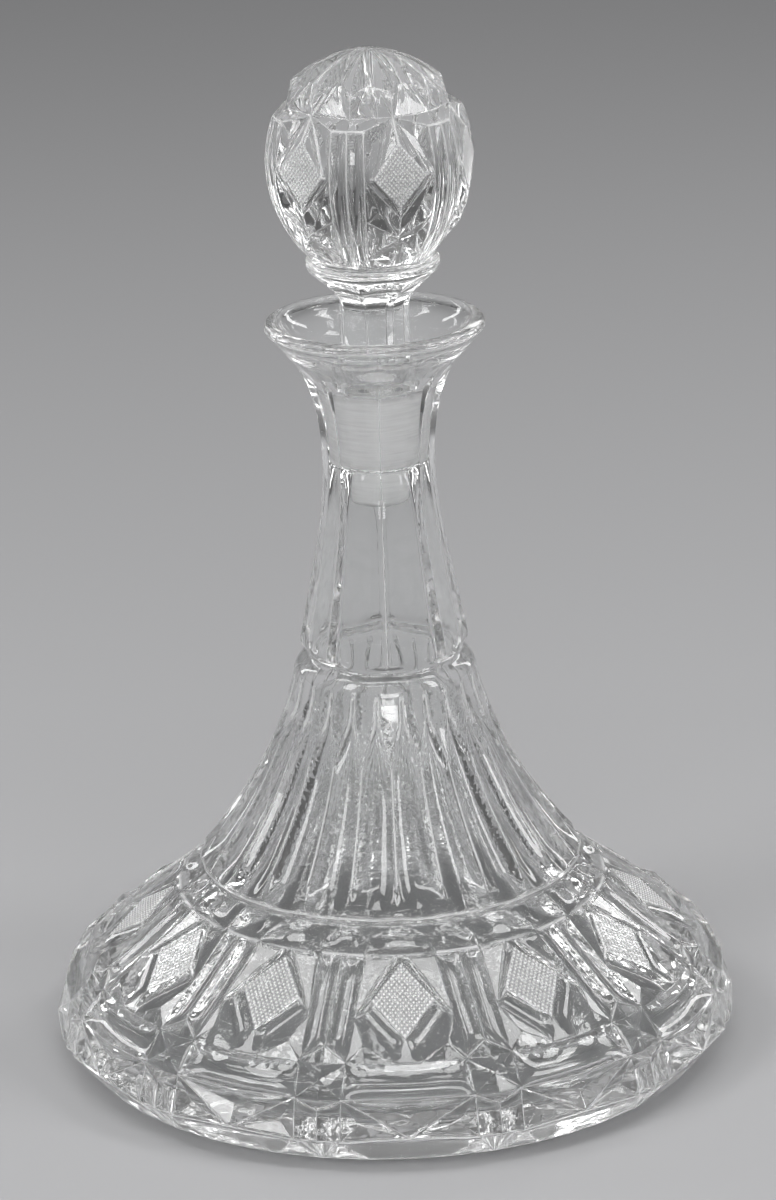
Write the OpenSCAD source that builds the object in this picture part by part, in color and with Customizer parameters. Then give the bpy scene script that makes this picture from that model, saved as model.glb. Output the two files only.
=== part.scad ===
// Ships decanter: a clear glass bottle with a broad low base, wheel-cut patterns and a ground ball stopper.
// The axis is +Z, the foot stands on Z = 0 and the front is -Y. Sizes are in millimetres.

/* [Base] */
// Diameter of the flat foot
foot_d = 184; // [176:1:190]
// Diameter at the widest edge of the base
girdle_d = 200; // [196:1:208]
// Diameter at the lower edge of the band
band_low_d = 193; // [188:1:195]
// Diameter at the upper edge of the band
band_top_d = 179; // [174:1:184]
// Diameter at the foot of the ring
ring_low_d = 124; // [118:1:130]
// Diameter at the top of the ring
ring_top_d = 107.4; // [104:0.2:110]
// Height of the bevel under the skirt
bevel_h = 9; // [7:0.5:12]
// Height of the upright skirt
skirt_h = 11; // [9:0.5:14]
// Height of the band
band_h = 8; // [7:0.5:10]
// Height of the slope with the diamonds
slope_h = 21; // [18:0.5:26]
// Height of the ring of scoops
ring_h = 5.5; // [4.5:0.5:7]

/* [Shoulder] */
// Diameter of the overhanging lower edge
shoulder_d = 112.6; // [110:0.2:118]
// Height of the overhang above the ring
overhang_h = 3; // [2:0.5:5]
// Height of the hollow-curved shoulder
shoulder_h = 53.5; // [46:0.5:62]
// Radius of the hollow curve
shoulder_curve_r = 125; // [110:1:180]
// Diameter of the plain collar
collar_d = 53.6; // [50:0.2:58]
// Height of the plain collar
collar_h = 6; // [5:0.5:8]
// Fall of the collar towards the groove
collar_round = 1.2; // [0.6:0.1:2]

/* [Neck] */
// Diameter in the groove under the neck
groove_d = 44.4; // [42:0.2:45]
// Height of the groove
groove_h = 4.5; // [3.5:0.5:6]
// Diameter across the corners at the foot of the neck
neck_foot_d = 48.8; // [47:0.2:51]
// Diameter across the corners at the waist of the neck
waist_d = 32.4; // [31:0.2:36]
// Height from the groove to the waist
lower_neck_h = 53.5; // [46:0.5:60]
// Height from the waist to the lip
upper_neck_h = 42.5; // [40:0.5:48]
// Diameter of the lip
lip_d = 62.4; // [58:0.2:68]
// Thickness of the round lip
lip_t = 5; // [4:0.2:6]
// Number of flat panels on the neck
neck_panels = 8; // [6:1:10]

/* [Glass] */
// Thickness of the floor
floor_t = 9; // [7:0.5:12]
// Round between the floor and the skirt, inside
floor_round = 8; // [6:0.5:12]
// Wall behind the skirt
skirt_wall = 11; // [9:0.5:13]
// Wall behind the slope and the shoulder
shoulder_wall = 7.5; // [6.5:0.5:9]
// Wall behind the panels at the foot of the neck
neck_wall = 6; // [5:0.5:7]

/* [Ground joint] */
// Bore at the top of the ground socket
socket_d = 20.6; // [19:0.2:22]
// Length of the ground socket
socket_len = 23; // [18:0.5:28]
// Depth of the socket below the lip
socket_depth = 18.5; // [16:0.5:22]
// Diameter lost for each millimetre of the taper
taper = 0.1; // [0.05:0.01:0.12]
// Step from the ground socket to the wider bore below it
bore_relief = 1; // [0.6:0.1:1.6]
// Clearance between plug and socket, all round
joint_gap = 0.2; // [0.15:0.05:0.3]
// Length of the plug below the top of the socket
plug_len = 35; // [30:0.5:40]
// Round at the end of the plug
plug_round = 3; // [2:0.5:4]

/* [Stopper] */
// Height of the faceted shank above the socket
shank_h = 23; // [20:0.5:27]
// Diameter of the collar under the ball
knop_d = 38; // [36:0.2:42]
// Height of the flare from the shank to the collar
knop_h = 11; // [9:0.5:13]
// Diameter of the waist between collar and ball
ball_foot_d = 35.6; // [34:0.2:37]
// Height from the ball's waist to its widest edge
ball_low_h = 27; // [24:0.5:30]
// Widest diameter of the ball
ball_d = 58.8; // [56:0.2:62]
// Height from the widest edge to the line under the cap
ball_top_h = 13.8; // [12:0.2:16]
// Diameter of the ball at the line under the cap
ball_rim_d = 53.4; // [51:0.2:55]
// Height of the ledge from the ball up to the cap
ledge_h = 2.7; // [2:0.1:3.5]
// Diameter of the cap
cap_d = 46.6; // [44:0.2:50]
// Height of the cap's upright side
cap_side_h = 5.2; // [4:0.2:6.5]
// Height of the faceted dome above that side
cap_h = 9.8; // [8:0.2:12]
// Turn of the stopper in its socket
stopper_turn = 15.6; // [0:0.2:60]
// Number of flat panels on the shank
shank_panels = 8; // [6:1:10]

/* [Cuts] */
// Number of diamonds around the base
diamonds = 12; // [10:1:13]
// Number of diamonds around the ball
ball_diamonds = 6; // [5:1:7]
// Width of the double bar between two diamonds
bar_w = 13.2; // [11:0.2:14]
// Width of the double bar on the ball
ball_bar_w = 9.6; // [8.8:0.2:10.2]
// Half angle of the mitre cuts
mitre_angle = 58; // [50:1:62]
// Depth of the mitre cuts around a diamond
mitre_depth = 1.2; // [0.8:0.1:1.5]
// Depth of the long cuts over the edge of the base
skirt_depth = 1.3; // [0.8:0.1:1.6]
// Radius of the small flutes
flute_r = 5; // [4.5:0.1:6]
// Depth of the small flutes
flute_depth = 0.9; // [0.6:0.1:1.2]
// Radius of the flutes on the ball
ball_flute_r = 4.2; // [3.8:0.1:4.8]
// Radius of the shoulder flutes
shoulder_flute_r = 9; // [8:0.5:12]
// Depth of the shoulder flutes at their lower end
shoulder_flute_depth = 2.4; // [1.6:0.1:2.8]
// Depth of the scoops on the ring at their lower end
scoop_depth = 1.6; // [1:0.1:2]

/* [Hidden] */
$fn = 120;
glass = [0.84, 0.9, 0.91, 0.75];

// Points on each curve of a profile, and how far a cutting shape reaches past the glass.
steps = 6;
past = 4;
// Height of a plain line, plain land beside a cut, and the angle at which a cut on the ball runs out.
line_h = 1;
land = 1;
run_out = 4;
bevel_cut = 0.3;
knop_groove_h = 3.5;
// Where the cuts of the slope start and end, as fractions of the way down it.
diamond_from = 0.04;
diamond_widest = 0.54;
diamond_to = 0.94;
bar_from = 0.02;
bar_to = 0.87;
// How far a cut that ends at an edge runs over it, as a share of its length.
overrun = 1.12;
// Where the flutes of the skirt start, as a fraction of the way down it.
skirt_from = 0.08;
// Where the cuts of the ball start and end, as fractions of the way up it.
ball_cross_low = 0.04;
ball_diamond_low = 0.36;
ball_cross_top = 0.4;
ball_diamond_top = 0.97;
// How close the corners of panels come to the turned glass, where a panel leaves the neck's flare, and how far
// outside it runs there.
panel_fit = 0.988;
panel_end = 0.82;
panel_clear = 1.04;

// Profile points are [radius, height], from the foot to the lip.
foot = [foot_d / 2, 0];
girdle = [girdle_d / 2, bevel_h];
band_low = [band_low_d / 2, girdle.y + skirt_h];
band_top = [band_top_d / 2, band_low.y + band_h];
ring_low = [ring_low_d / 2, band_top.y + slope_h];
ring_top = [ring_top_d / 2, ring_low.y + ring_h];
shoulder_low = [shoulder_d / 2, ring_top.y + overhang_h];
shoulder_top = [collar_d / 2, shoulder_low.y + shoulder_h];
collar_top = [collar_d / 2 - collar_round, shoulder_top.y + collar_h];
groove = [groove_d / 2, collar_top.y + groove_h / 2];
neck_foot = [neck_foot_d / 2, collar_top.y + groove_h];
waist = [waist_d / 2, neck_foot.y + lower_neck_h];
lip_side = [lip_d / 2, waist.y + upper_neck_h - lip_t / 2];
lip_z = waist.y + upper_neck_h;

// Ground socket in the neck, and the plug that fits it.
socket_top = [socket_d / 2, lip_z - socket_depth];
socket_low = [socket_d / 2 - taper * socket_len / 2, socket_top.y - socket_len];
plug_top = [socket_d / 2 - joint_gap, socket_top.y];
plug_low = [plug_top.x - taper * plug_len / 2, socket_top.y - plug_len];

// Stopper profile, from the shank to the top of the cap.
shank_top = [plug_top.x, socket_top.y + shank_h];
knop = [knop_d / 2, shank_top.y + knop_h];
ball_foot = [ball_foot_d / 2, knop.y + knop_groove_h];
ball_side = [ball_d / 2, ball_foot.y + ball_low_h];
ball_rim = [ball_rim_d / 2, ball_side.y + ball_top_h];
cap_foot = [cap_d / 2, ball_rim.y + ledge_h];
cap_brow = [cap_foot.x * 0.952, cap_foot.y + cap_side_h];
cap_top = [0, cap_brow.y + cap_h];
ball_c = circle_centre(ball_foot, ball_side, ball_rim);
ball_r = norm(ball_side - ball_c);

// Pattern layout.
pitch = 360 / diamonds;
front = -90;
panel_cos = panel_fit * cos(180 / neck_panels);
diamond_half = band_low.x * sin(pitch / 2) - bar_w / 2;
diamond_corner = lerp(ring_low.x, band_top.x, diamond_widest) * sin(pitch / 2) - bar_w / 2 - land;
shank_cos = cos(180 / shank_panels);
cap_cos = panel_fit * cos(90 / ball_diamonds);
ball_half = ball_d / 2 * sin(180 / ball_diamonds) - ball_bar_w / 2 - land;

function lerp(a, b, t) = a + (b - a) * t;
function unit(v) = v / norm(v);
function bezier(p, t) =
    pow(1 - t, 3) * p[0] + 3 * t * pow(1 - t, 2) * p[1] + 3 * t * t * (1 - t) * p[2] + pow(t, 3) * p[3];
function curve(p, first = 0) = [for (i = [first:steps]) bezier(p, i / steps)];
// Centre of the arc of radius r from a to b, on the side away from the axis.
function arc_centre(a, b, r) =
    let (m = (a + b) / 2, half = norm(b - a) / 2, d = unit(b - a))
    m + [d.y, -d.x] * sqrt(r * r - half * half);
function slant(c, p) = atan2(p.y - c.y, p.x - c.x);
function bearing(c, p) = slant(c, p) + (p.y < c.y ? 360 : 0);
function arc(a, b, r) =
    let (c = arc_centre(a, b, r), from = bearing(c, a), to = bearing(c, b))
    [for (i = [0:steps]) let (t = lerp(from, to, i / steps)) c + r * [cos(t), sin(t)]];
// Centre of the circle through three points of a profile.
function circle_centre(a, b, c) =
    let (p = b - a, q = c - a, d = 2 * (p.x * q.y - p.y * q.x))
    a + [q.y * (p * p) - p.y * (q * q), p.x * (q * q) - q.x * (p * p)] / d;
// Point on the ball's side, from its foot at 0 to the line under the cap at 1.
function ball_at(t) =
    let (a = lerp(slant(ball_c, ball_foot), slant(ball_c, ball_rim), t))
    ball_c + ball_r * [cos(a), sin(a)];
// Outward normal of the straight wall from a up to b, as a point of the profile.
function wall_normal(a, b) = let (d = unit(b - a)) [d.y, -d.x];
// Point on the turned surface at profile point p, moved round by an arc of given chord from the +X plane.
function on(p, side) = [sqrt(p.x * p.x - side * side), side, p.y];
function upright(n) = [n.x, 0, n.y];
function slope_at(t) = lerp(ring_low, band_top, t);

lower_neck = [neck_foot + [0, 2], [lerp(neck_foot.x, waist.x, 0.65), lerp(neck_foot.y, waist.y, 0.52)],
    [waist.x, lerp(neck_foot.y, waist.y, 0.76)], waist];
upper_neck = [waist, [waist.x, lerp(waist.y, lip_side.y, 0.57)],
    [lerp(waist.x, lip_side.x, 0.45), lerp(waist.y, lip_side.y, 0.78)], lip_side];
mouth = [[lip_side.x - lip_t, lip_side.y], [lip_side.x - 2 * lip_t, lerp(lip_side.y, socket_top.y, 0.45)],
    [socket_top.x + 0.5, lerp(lip_side.y, socket_top.y, 0.5)], socket_top];
flare = [shank_top, shank_top + [0.5, knop_h * 0.3], knop - [3.5, knop_h * 0.35], knop];
cap = [cap_brow, [cap_brow.x * 0.8, cap_brow.y + cap_h * 0.44], [cap_brow.x * 0.434, cap_top.y - cap_h * 0.07],
    cap_top];

// Places children with +X from a to b and +Z towards up.
module along(a, b, up) {
    x = unit(b - a);
    y = unit(cross(up, x));
    z = cross(x, y);
    multmatrix([[x.x, y.x, z.x, a.x], [x.y, y.y, z.y, a.y], [x.z, y.z, z.z, a.z], [0, 0, 0, 1]])
        children();
}

// A V-shaped cut from a to b, depth deep below those points.
module mitre(a, b, up, depth) {
    rise = depth + past;
    along(a, b, up)
        rotate([90, 0, 90])
            linear_extrude(norm(b - a))
                polygon([[0, -depth], [rise * tan(mitre_angle), past], [-rise * tan(mitre_angle), past]]);
}

// A round-bottomed cut from a to b.
module flute(a, b, up, r, depth) {
    along(a, b, up)
        translate([0, 0, r - depth])
            rotate([0, 90, 0])
                cylinder(h = norm(b - a), r = r);
}

module around(count, first = 0) {
    for (i = [0:count - 1])
        rotate([0, 0, first + i * 360 / count])
            children();
}

// The turned blank, without its hollow.
module blank() {
    rotate_extrude()
        polygon(concat(
            [[0, 0], foot, girdle, band_low, band_top, ring_low, ring_top],
            arc(shoulder_low, shoulder_top, shoulder_curve_r),
            [collar_top, groove - [0, groove_h / 8], groove + [0, groove_h / 8], neck_foot],
            curve(lower_neck), curve(upper_neck, 1),
            [lip_side + [-0.15, 0.35] * lip_t, lip_side + [-0.5, 0.5] * lip_t, [0, lip_z]]));
}

// The hollow, from the floor to the mouth.
module hollow() {
    slope_in = wall_normal(band_top, ring_low) * shoulder_wall;
    corner = [girdle.x - skirt_wall, floor_t];
    rotate_extrude()
        polygon(concat(
            [[0, floor_t], corner - [floor_round, 0], corner + [-0.25, 0.25] * floor_round,
                corner + [0, 0.7] * floor_round, band_top - slope_in - [0, 0.25] * floor_round],
            arc(shoulder_low - [shoulder_wall * 1.4, 2 * overhang_h], shoulder_top - [shoulder_wall, 0],
                shoulder_curve_r),
            [[neck_foot.x * panel_cos - neck_wall, neck_foot.y],
                [socket_low.x + 2 * bore_relief, plug_low.y],
                socket_low + [bore_relief, -bore_relief], socket_low],
            [for (i = [0:steps]) bezier(mouth, 1 - i / steps)],
            [[lip_side.x - lip_t / 2, lip_z], [lip_side.x - lip_t / 2, lip_z + past], [0, lip_z + past]]));
}

// One flat panel of the neck, which runs out into the lip.
module neck_panel() {
    rotate([90, 0, 0])
        linear_extrude(lip_d, center = true)
            polygon(concat(
                [[lip_d, neck_foot.y + line_h / 2], [neck_foot.x * panel_cos, neck_foot.y + line_h / 2]],
                [for (p = curve(lower_neck)) [p.x * panel_cos, p.y]],
                [for (i = [1:steps - 1]) let (t = i / steps, p = bezier(upper_neck, t * panel_end))
                    [p.x * lerp(panel_cos, panel_clear, pow(t, 3)), p.y]],
                [[lip_d, bezier(upper_neck, panel_end).y]]));
}

// One long flute of the shoulder: a round wheel swept along the hollow curve, running out at the top.
module shoulder_flute() {
    r = shoulder_flute_r;
    low = shoulder_low + wall_normal(shoulder_low, shoulder_top) * (r - shoulder_flute_depth);
    top = shoulder_top + wall_normal(shoulder_low, shoulder_top) * r;
    sweep_r = shoulder_curve_r - r;
    c = arc_centre(low, top, sweep_r);
    from = bearing(c, low) + line_h / 2;
    translate([c.x, 0, c.y])
        rotate([90, 0, 0])
            rotate([0, 0, bearing(c, top)])
                rotate_extrude(angle = from - bearing(c, top))
                    translate([sweep_r, 0])
                        circle(r);
}

// The four mitre cuts that frame one diamond of the slope.
module diamond_frame() {
    up = upright(wall_normal(band_top, ring_low));
    top = on(slope_at(diamond_from), 0);
    low = on(slope_at(diamond_to), 0);
    for (turn = [-1, 1]) {
        corner = on(slope_at(diamond_widest), turn * diamond_corner);
        mitre(top, corner, up, mitre_depth);
        mitre(corner, low, up, mitre_depth);
    }
}

// The two flutes of one bar on the slope, and the chevron that ends them.
module slope_bar() {
    up = upright(wall_normal(band_top, ring_low));
    tip = on(slope_at(bar_to), 0);
    for (turn = [-1, 1]) {
        side = turn * bar_w / 4;
        flute(on(slope_at(bar_from), side), on(slope_at(bar_to), side), up, flute_r, flute_depth);
        mitre(tip, lerp(tip, on(band_top, turn * (bar_w / 2 - land)), overrun), up, mitre_depth);
    }
}

// One scoop of the ring, deepest at its foot.
module ring_scoop() {
    up = upright(wall_normal(ring_low, ring_top));
    along(on(ring_top, 0) + up * scoop_depth / 4, on(ring_low, 0) - up * scoop_depth, up)
        translate([-line_h, 0, shoulder_flute_r])
            rotate([0, 90, 0])
                cylinder(h = norm(ring_low - ring_top) + line_h / 2, r = shoulder_flute_r);
}

// The long hollow that lies across the band over one diamond.
module band_hollow() {
    up = upright(wall_normal(band_low, band_top));
    middle = lerp(band_low, band_top, 0.5);
    a = [middle.x, -diamond_half, middle.y];
    b = [middle.x, diamond_half, middle.y];
    flute(a, b, up, flute_r + land, skirt_depth);
}

// The crossed mitre cuts of the band over one bar.
module band_cross() {
    up = upright(wall_normal(band_low, band_top));
    for (turn = [-1, 1]) {
        a = on(band_top, turn * bar_w / 2);
        b = on(band_low, -turn * bar_w / 2);
        mitre(lerp(b, a, overrun), lerp(a, b, overrun), up, mitre_depth);
    }
}

// The saltire on the skirt under one diamond.
module skirt_cross() {
    up = upright(wall_normal(girdle, band_low));
    for (turn = [-1, 1])
        mitre(on(band_low, turn * diamond_half), on(girdle, -turn * diamond_half), up, skirt_depth / 2);
}

// The two upright flutes on the skirt under one bar.
module skirt_flutes() {
    up = upright(wall_normal(girdle, band_low));
    for (turn = [-1, 1])
        flute(on(lerp(band_low, girdle, skirt_from), turn * bar_w / 4),
            on(girdle, turn * bar_w / 4) - [0, 0, past / 2], up, flute_r, flute_depth);
}

// A flat facet on the bevel above the foot.
module bevel_facet() {
    up = upright(wall_normal(foot, girdle));
    along(on(foot, 0), on(girdle, 0), up)
        translate([-past, -girdle_d / 4, -bevel_cut])
            cube([norm(girdle - foot) + 2 * past, girdle_d / 2, 2 * past]);
}

module decanter_body() {
    color(glass)
        difference() {
            blank();
            hollow();
            around(neck_panels, front + 180 / neck_panels)
                neck_panel();
            around(2 * diamonds, front + pitch / 4)
                shoulder_flute();
            around(2 * diamonds, front)
                ring_scoop();
            around(diamonds, front) {
                diamond_frame();
                band_hollow();
                skirt_cross();
            }
            around(diamonds, front + pitch / 2) {
                slope_bar();
                band_cross();
                skirt_flutes();
            }
            around(2 * diamonds, front)
                bevel_facet();
        }
}

// The turned stopper: ground plug, shank, collar, ball and cap.
module stopper_blank() {
    rotate_extrude()
        polygon(concat(
            [[0, plug_low.y], plug_low - [plug_round, 0], plug_low + [-0.25, 0.3] * plug_round,
                plug_low + [taper / 2, 1] * plug_round, plug_top, shank_top],
            curve(flare), [knop + [0, knop_groove_h * 0.4]],
            [for (i = [0:steps]) ball_at(i / steps)],
            [cap_foot], curve(cap)));
}

// One flat panel of the shank, which runs out under the collar.
module shank_panel() {
    rotate([90, 0, 0])
        linear_extrude(knop_d, center = true)
            polygon(concat(
                [[knop_d, shank_top.y - shank_h + past], [plug_top.x, shank_top.y - shank_h + past],
                    [shank_top.x * shank_cos, shank_top.y - shank_h + 2 * past]],
                [for (i = [0:steps - 1]) let (t = i / steps, p = bezier(flare, t))
                    [p.x * lerp(shank_cos, panel_clear, t * t), p.y]],
                [[knop_d, bezier(flare, 1 - 1 / steps).y]]));
}

// The mitre cuts of one diamond on the ball, and the cross under it.
module ball_diamond() {
    out = [1, 0, 0];
    top = on(ball_at(ball_diamond_top), 0);
    low = on(ball_at(ball_diamond_low), 0);
    for (turn = [-1, 1]) {
        corner = on(ball_side, turn * ball_half);
        mitre(top, corner, out, mitre_depth / 3);
        mitre(corner, low, out, mitre_depth / 3);
        mitre(on(ball_at(ball_cross_top), turn * ball_half * 0.9),
            on(ball_at(ball_cross_low), -turn * ball_half * 0.5), out, 0);
    }
}

// The two flutes of one bar on the ball.
module ball_bar() {
    sweep_r = ball_r + ball_flute_r - flute_depth;
    for (turn = [-1, 1])
        translate([ball_c.x, turn * ball_bar_w / 4, ball_c.y])
            rotate([90, 0, 0])
                rotate([0, 0, slant(ball_c, ball_foot) + run_out])
                    rotate_extrude(angle = slant(ball_c, ball_rim) - slant(ball_c, ball_foot) - 2 * run_out)
                        translate([sweep_r, 0])
                            circle(ball_flute_r);
}

// One flat facet of the cap, from its edge to the top.
module cap_facet() {
    rotate([90, 0, 0])
        linear_extrude(ball_d, center = true)
            polygon(concat(
                [[cap_foot.x * cap_cos, cap_foot.y]],
                [for (i = [0:steps]) let (p = bezier(cap, i / steps)) [p.x * cap_cos, p.y]],
                [[0, cap_top.y + past], [ball_d, cap_top.y + past], [ball_d, cap_foot.y]]));
}

module stopper() {
    color(glass)
        rotate([0, 0, front + stopper_turn])
            difference() {
                stopper_blank();
                around(shank_panels)
                    shank_panel();
                around(ball_diamonds)
                    ball_diamond();
                around(ball_diamonds, 180 / ball_diamonds)
                    ball_bar();
                around(2 * ball_diamonds, 90 / ball_diamonds)
                    cap_facet();
            }
}

decanter_body();
stopper();
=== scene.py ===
"""Dresses the ships decanter: its pressed glass body, its ground stopper, a plain studio and the camera.

Shapes are worked out in millimetres around the axis, with a diamond of the base at angle 0, and are turned
to face the front (-Y) and put into metres when their mesh is made.
"""

import logging
import math
from dataclasses import dataclass
from enum import Enum
from typing import Any, Union

import bmesh
import bpy
import numpy as np
from mathutils import Matrix, Vector


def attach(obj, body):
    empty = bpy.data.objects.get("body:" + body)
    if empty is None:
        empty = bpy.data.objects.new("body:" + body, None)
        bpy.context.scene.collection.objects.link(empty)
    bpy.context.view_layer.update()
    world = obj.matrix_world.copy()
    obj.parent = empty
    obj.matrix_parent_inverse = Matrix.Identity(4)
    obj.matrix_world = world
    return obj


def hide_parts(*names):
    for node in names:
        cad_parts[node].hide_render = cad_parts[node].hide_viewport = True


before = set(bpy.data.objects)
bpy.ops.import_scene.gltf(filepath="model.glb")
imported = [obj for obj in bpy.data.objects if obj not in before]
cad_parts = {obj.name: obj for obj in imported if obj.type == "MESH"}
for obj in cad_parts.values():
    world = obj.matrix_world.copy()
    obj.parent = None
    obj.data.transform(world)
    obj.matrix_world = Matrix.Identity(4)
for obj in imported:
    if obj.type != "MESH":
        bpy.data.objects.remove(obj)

LOG = logging.getLogger("ships_decanter")
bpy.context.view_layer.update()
MM = 0.001
FRONT = -90.0
WELD = 1.2e-5
SHORTEST = 1e-7
CROWDING = 0.88
LINE_STEPS = 8
FACET_STEPS = 6
HATCH_GROOVE = 0.2
HATCH_POINT = 0.75
BOUNCES = 32
Array = np.ndarray
Profile = tuple[float, float]
Span = tuple[float, float]
Triple = tuple[float, float, float]
Corners = dict[str, Array]


class Spacing(Enum):
    """How the points of a line are spread."""

    EVEN = "even"
    EDGED = "edged"


def spaced(count: int, spacing: Spacing = Spacing.EDGED) -> Array:
    """Shares from 0 to 1; EDGED follows 6t^5 - 15t^4 + 10t^3 with a little of t.

    Args:
        count: number of steps.
        spacing: even, or crowded towards both ends.

    Returns:
        count + 1 shares.
    """
    t = np.linspace(0.0, 1.0, count + 1)
    if spacing is Spacing.EVEN:
        return t
    return CROWDING * t**3 * (t * (6.0 * t - 15.0) + 10.0) + (1.0 - CROWDING) * t


def line(
    a: Union[Array, Profile], b: Union[Array, Profile], count: int = LINE_STEPS,
    spacing: Spacing = Spacing.EDGED,
) -> Array:
    """Points a + (b - a) s on the straight line from a to b, for the spaced shares s.

    Args:
        a: first point.
        b: last point.
        count: number of steps.
        spacing: how the points are spread.

    Returns:
        Array of count + 1 points.
    """
    return a + np.subtract(b, a) * spaced(count, spacing)[:, None]


def joined(*lines: Array) -> Array:
    """One line made of several that follow each other, with each shared point kept once."""
    return np.vstack([lines[0]] + [part[1:] for part in lines[1:]])


def stepped(a: Array, b: Array, c: Array) -> Array:
    """Line from a over b to c, in two even steps and six that crowd at their ends."""
    return joined(line(a, b, 2, Spacing.EVEN), line(b, c, 6))


def travelled(points: Array) -> Array:
    """Share of a line's length at each of its points, from 0 to 1."""
    steps = np.linalg.norm(np.diff(points, axis=0), axis=1)
    return np.concatenate([[0.0], np.cumsum(steps)]) / max(steps.sum(), SHORTEST)


def bezier(points: list[Profile], count: int) -> Array:
    """Cubic curve with four control points: sum of the Bernstein weights times the points, at even shares.

    Args:
        points: the four control points of the outline.
        count: number of steps.

    Returns:
        Array of count + 1 outline points.
    """
    t = np.linspace(0.0, 1.0, count + 1)[:, None]
    p = np.array(points)
    return (1 - t) ** 3 * p[0] + 3 * t * (1 - t) ** 2 * p[1] + 3 * t * t * (1 - t) * p[2] + t**3 * p[3]


def swept(radius: Array, degrees: Array, height: Array) -> Array:
    """Points (r cos a, r sin a, z) for arrays of radius, angle in degrees and height that fit together."""
    r, a, z = np.broadcast_arrays(np.asarray(radius, float), np.radians(degrees), np.asarray(height, float))
    return np.stack([r * np.cos(a), r * np.sin(a), z], axis=-1)


def bearings(count: int) -> Array:
    """Even angles round the axis, in degrees."""
    return np.arange(count) * 360.0 / count


def panel_bearings(panels: int, columns: int, crowd: float) -> Array:
    """Angles of columns on panels, at the shares crowd (1 - cos(pi t)) / 2 + (1 - crowd) t of each.

    Args:
        panels: panels round the axis.
        columns: columns in all, as many on each panel.
        crowd: 0 for even columns, 1 for the most crowded at the panels' edges.

    Returns:
        One angle for each column, in degrees.
    """
    t = np.linspace(0.0, 1.0, columns // panels + 1)[:-1]
    share = crowd * (0.5 - 0.5 * np.cos(np.pi * t)) + (1.0 - crowd) * t
    return (np.arange(panels)[:, None] + share[None, :]).reshape(-1) * 360.0 / panels


def eased(value: Array, low: float, high: float) -> Array:
    """Smooth step 3t^2 - 2t^3 of value from low (0) to high (1)."""
    t = np.clip((np.asarray(value, float) - low) / (high - low), 0.0, 1.0)
    return t * t * (3.0 - 2.0 * t)


@dataclass
class Sheet:
    """A stretch of surface: points in millimetres, its faces, and how matt each point is."""

    points: Array
    quads: Array
    triangles: Array
    matt: Array


def lattice(grid: Array, wrap: bool = False, matt: Union[float, Array] = 0.0) -> Sheet:
    """A sheet whose faces join neighbours of a grid of points.

    Args:
        grid: rows x columns x 3 points.
        wrap: joins the last column to the first.
        matt: matt value, or one for each point of the grid.

    Returns:
        The sheet.
    """
    rows, columns = grid.shape[:2]
    ids = np.arange(rows * columns).reshape(rows, columns)
    if wrap:
        ids = np.hstack([ids, ids[:, :1]])
    quads = np.stack([ids[:-1, :-1], ids[:-1, 1:], ids[1:, 1:], ids[1:, :-1]], axis=-1).reshape(-1, 4)
    values = np.broadcast_to(matt, (rows, columns)).reshape(-1).astype(float)
    return Sheet(grid.reshape(-1, 3), quads, np.zeros((0, 3), int), values)


def run_out(points: Array, first: bool, last: bool) -> Array:
    """Depth of a groove along a line: 1 - (2v - 1)^8 over each half that runs out at its end, else 1.

    Args:
        points: the line.
        first: the groove runs out at the line's start.
        last: the groove runs out at the line's end.

    Returns:
        One weight for each point.
    """
    v = travelled(points)
    weight = 1.0 - np.abs(2.0 * v - 1.0) ** 8
    return np.where(v < 0.5, weight if first else 1.0, weight if last else 1.0)


def ruled(
    a: Array,
    b: Array,
    count: int = FACET_STEPS,
    depth: float = 0.0,
    toward: Union[Array, None] = None,
    along: Union[Array, float] = 1.0,
) -> Sheet:
    """A facet or hollow between two lines: a + (b - a) s, sunk by depth sin(pi s) along.

    Args:
        a: points of the first line.
        b: as many points of the second line, or one point for a facet that ends in a corner.
        count: steps from a to b.
        depth: depth of the hollow, or 0 for a flat facet.
        toward: outward direction, one for all or one for each point of a.
        along: weight of the depth at each point of a.

    Returns:
        The sheet.
    """
    s = spaced(count)
    b = np.broadcast_to(b, a.shape)
    grid = a[:, None, :] + (b - a)[:, None, :] * s[None, :, None]
    if depth:
        fall = np.broadcast_to(along, len(a))[:, None] * np.sin(np.pi * s)[None, :]
        out = np.broadcast_to(toward, a.shape)
        grid = grid - depth * fall[:, :, None] * out[:, None, :]
    return lattice(grid)


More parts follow.
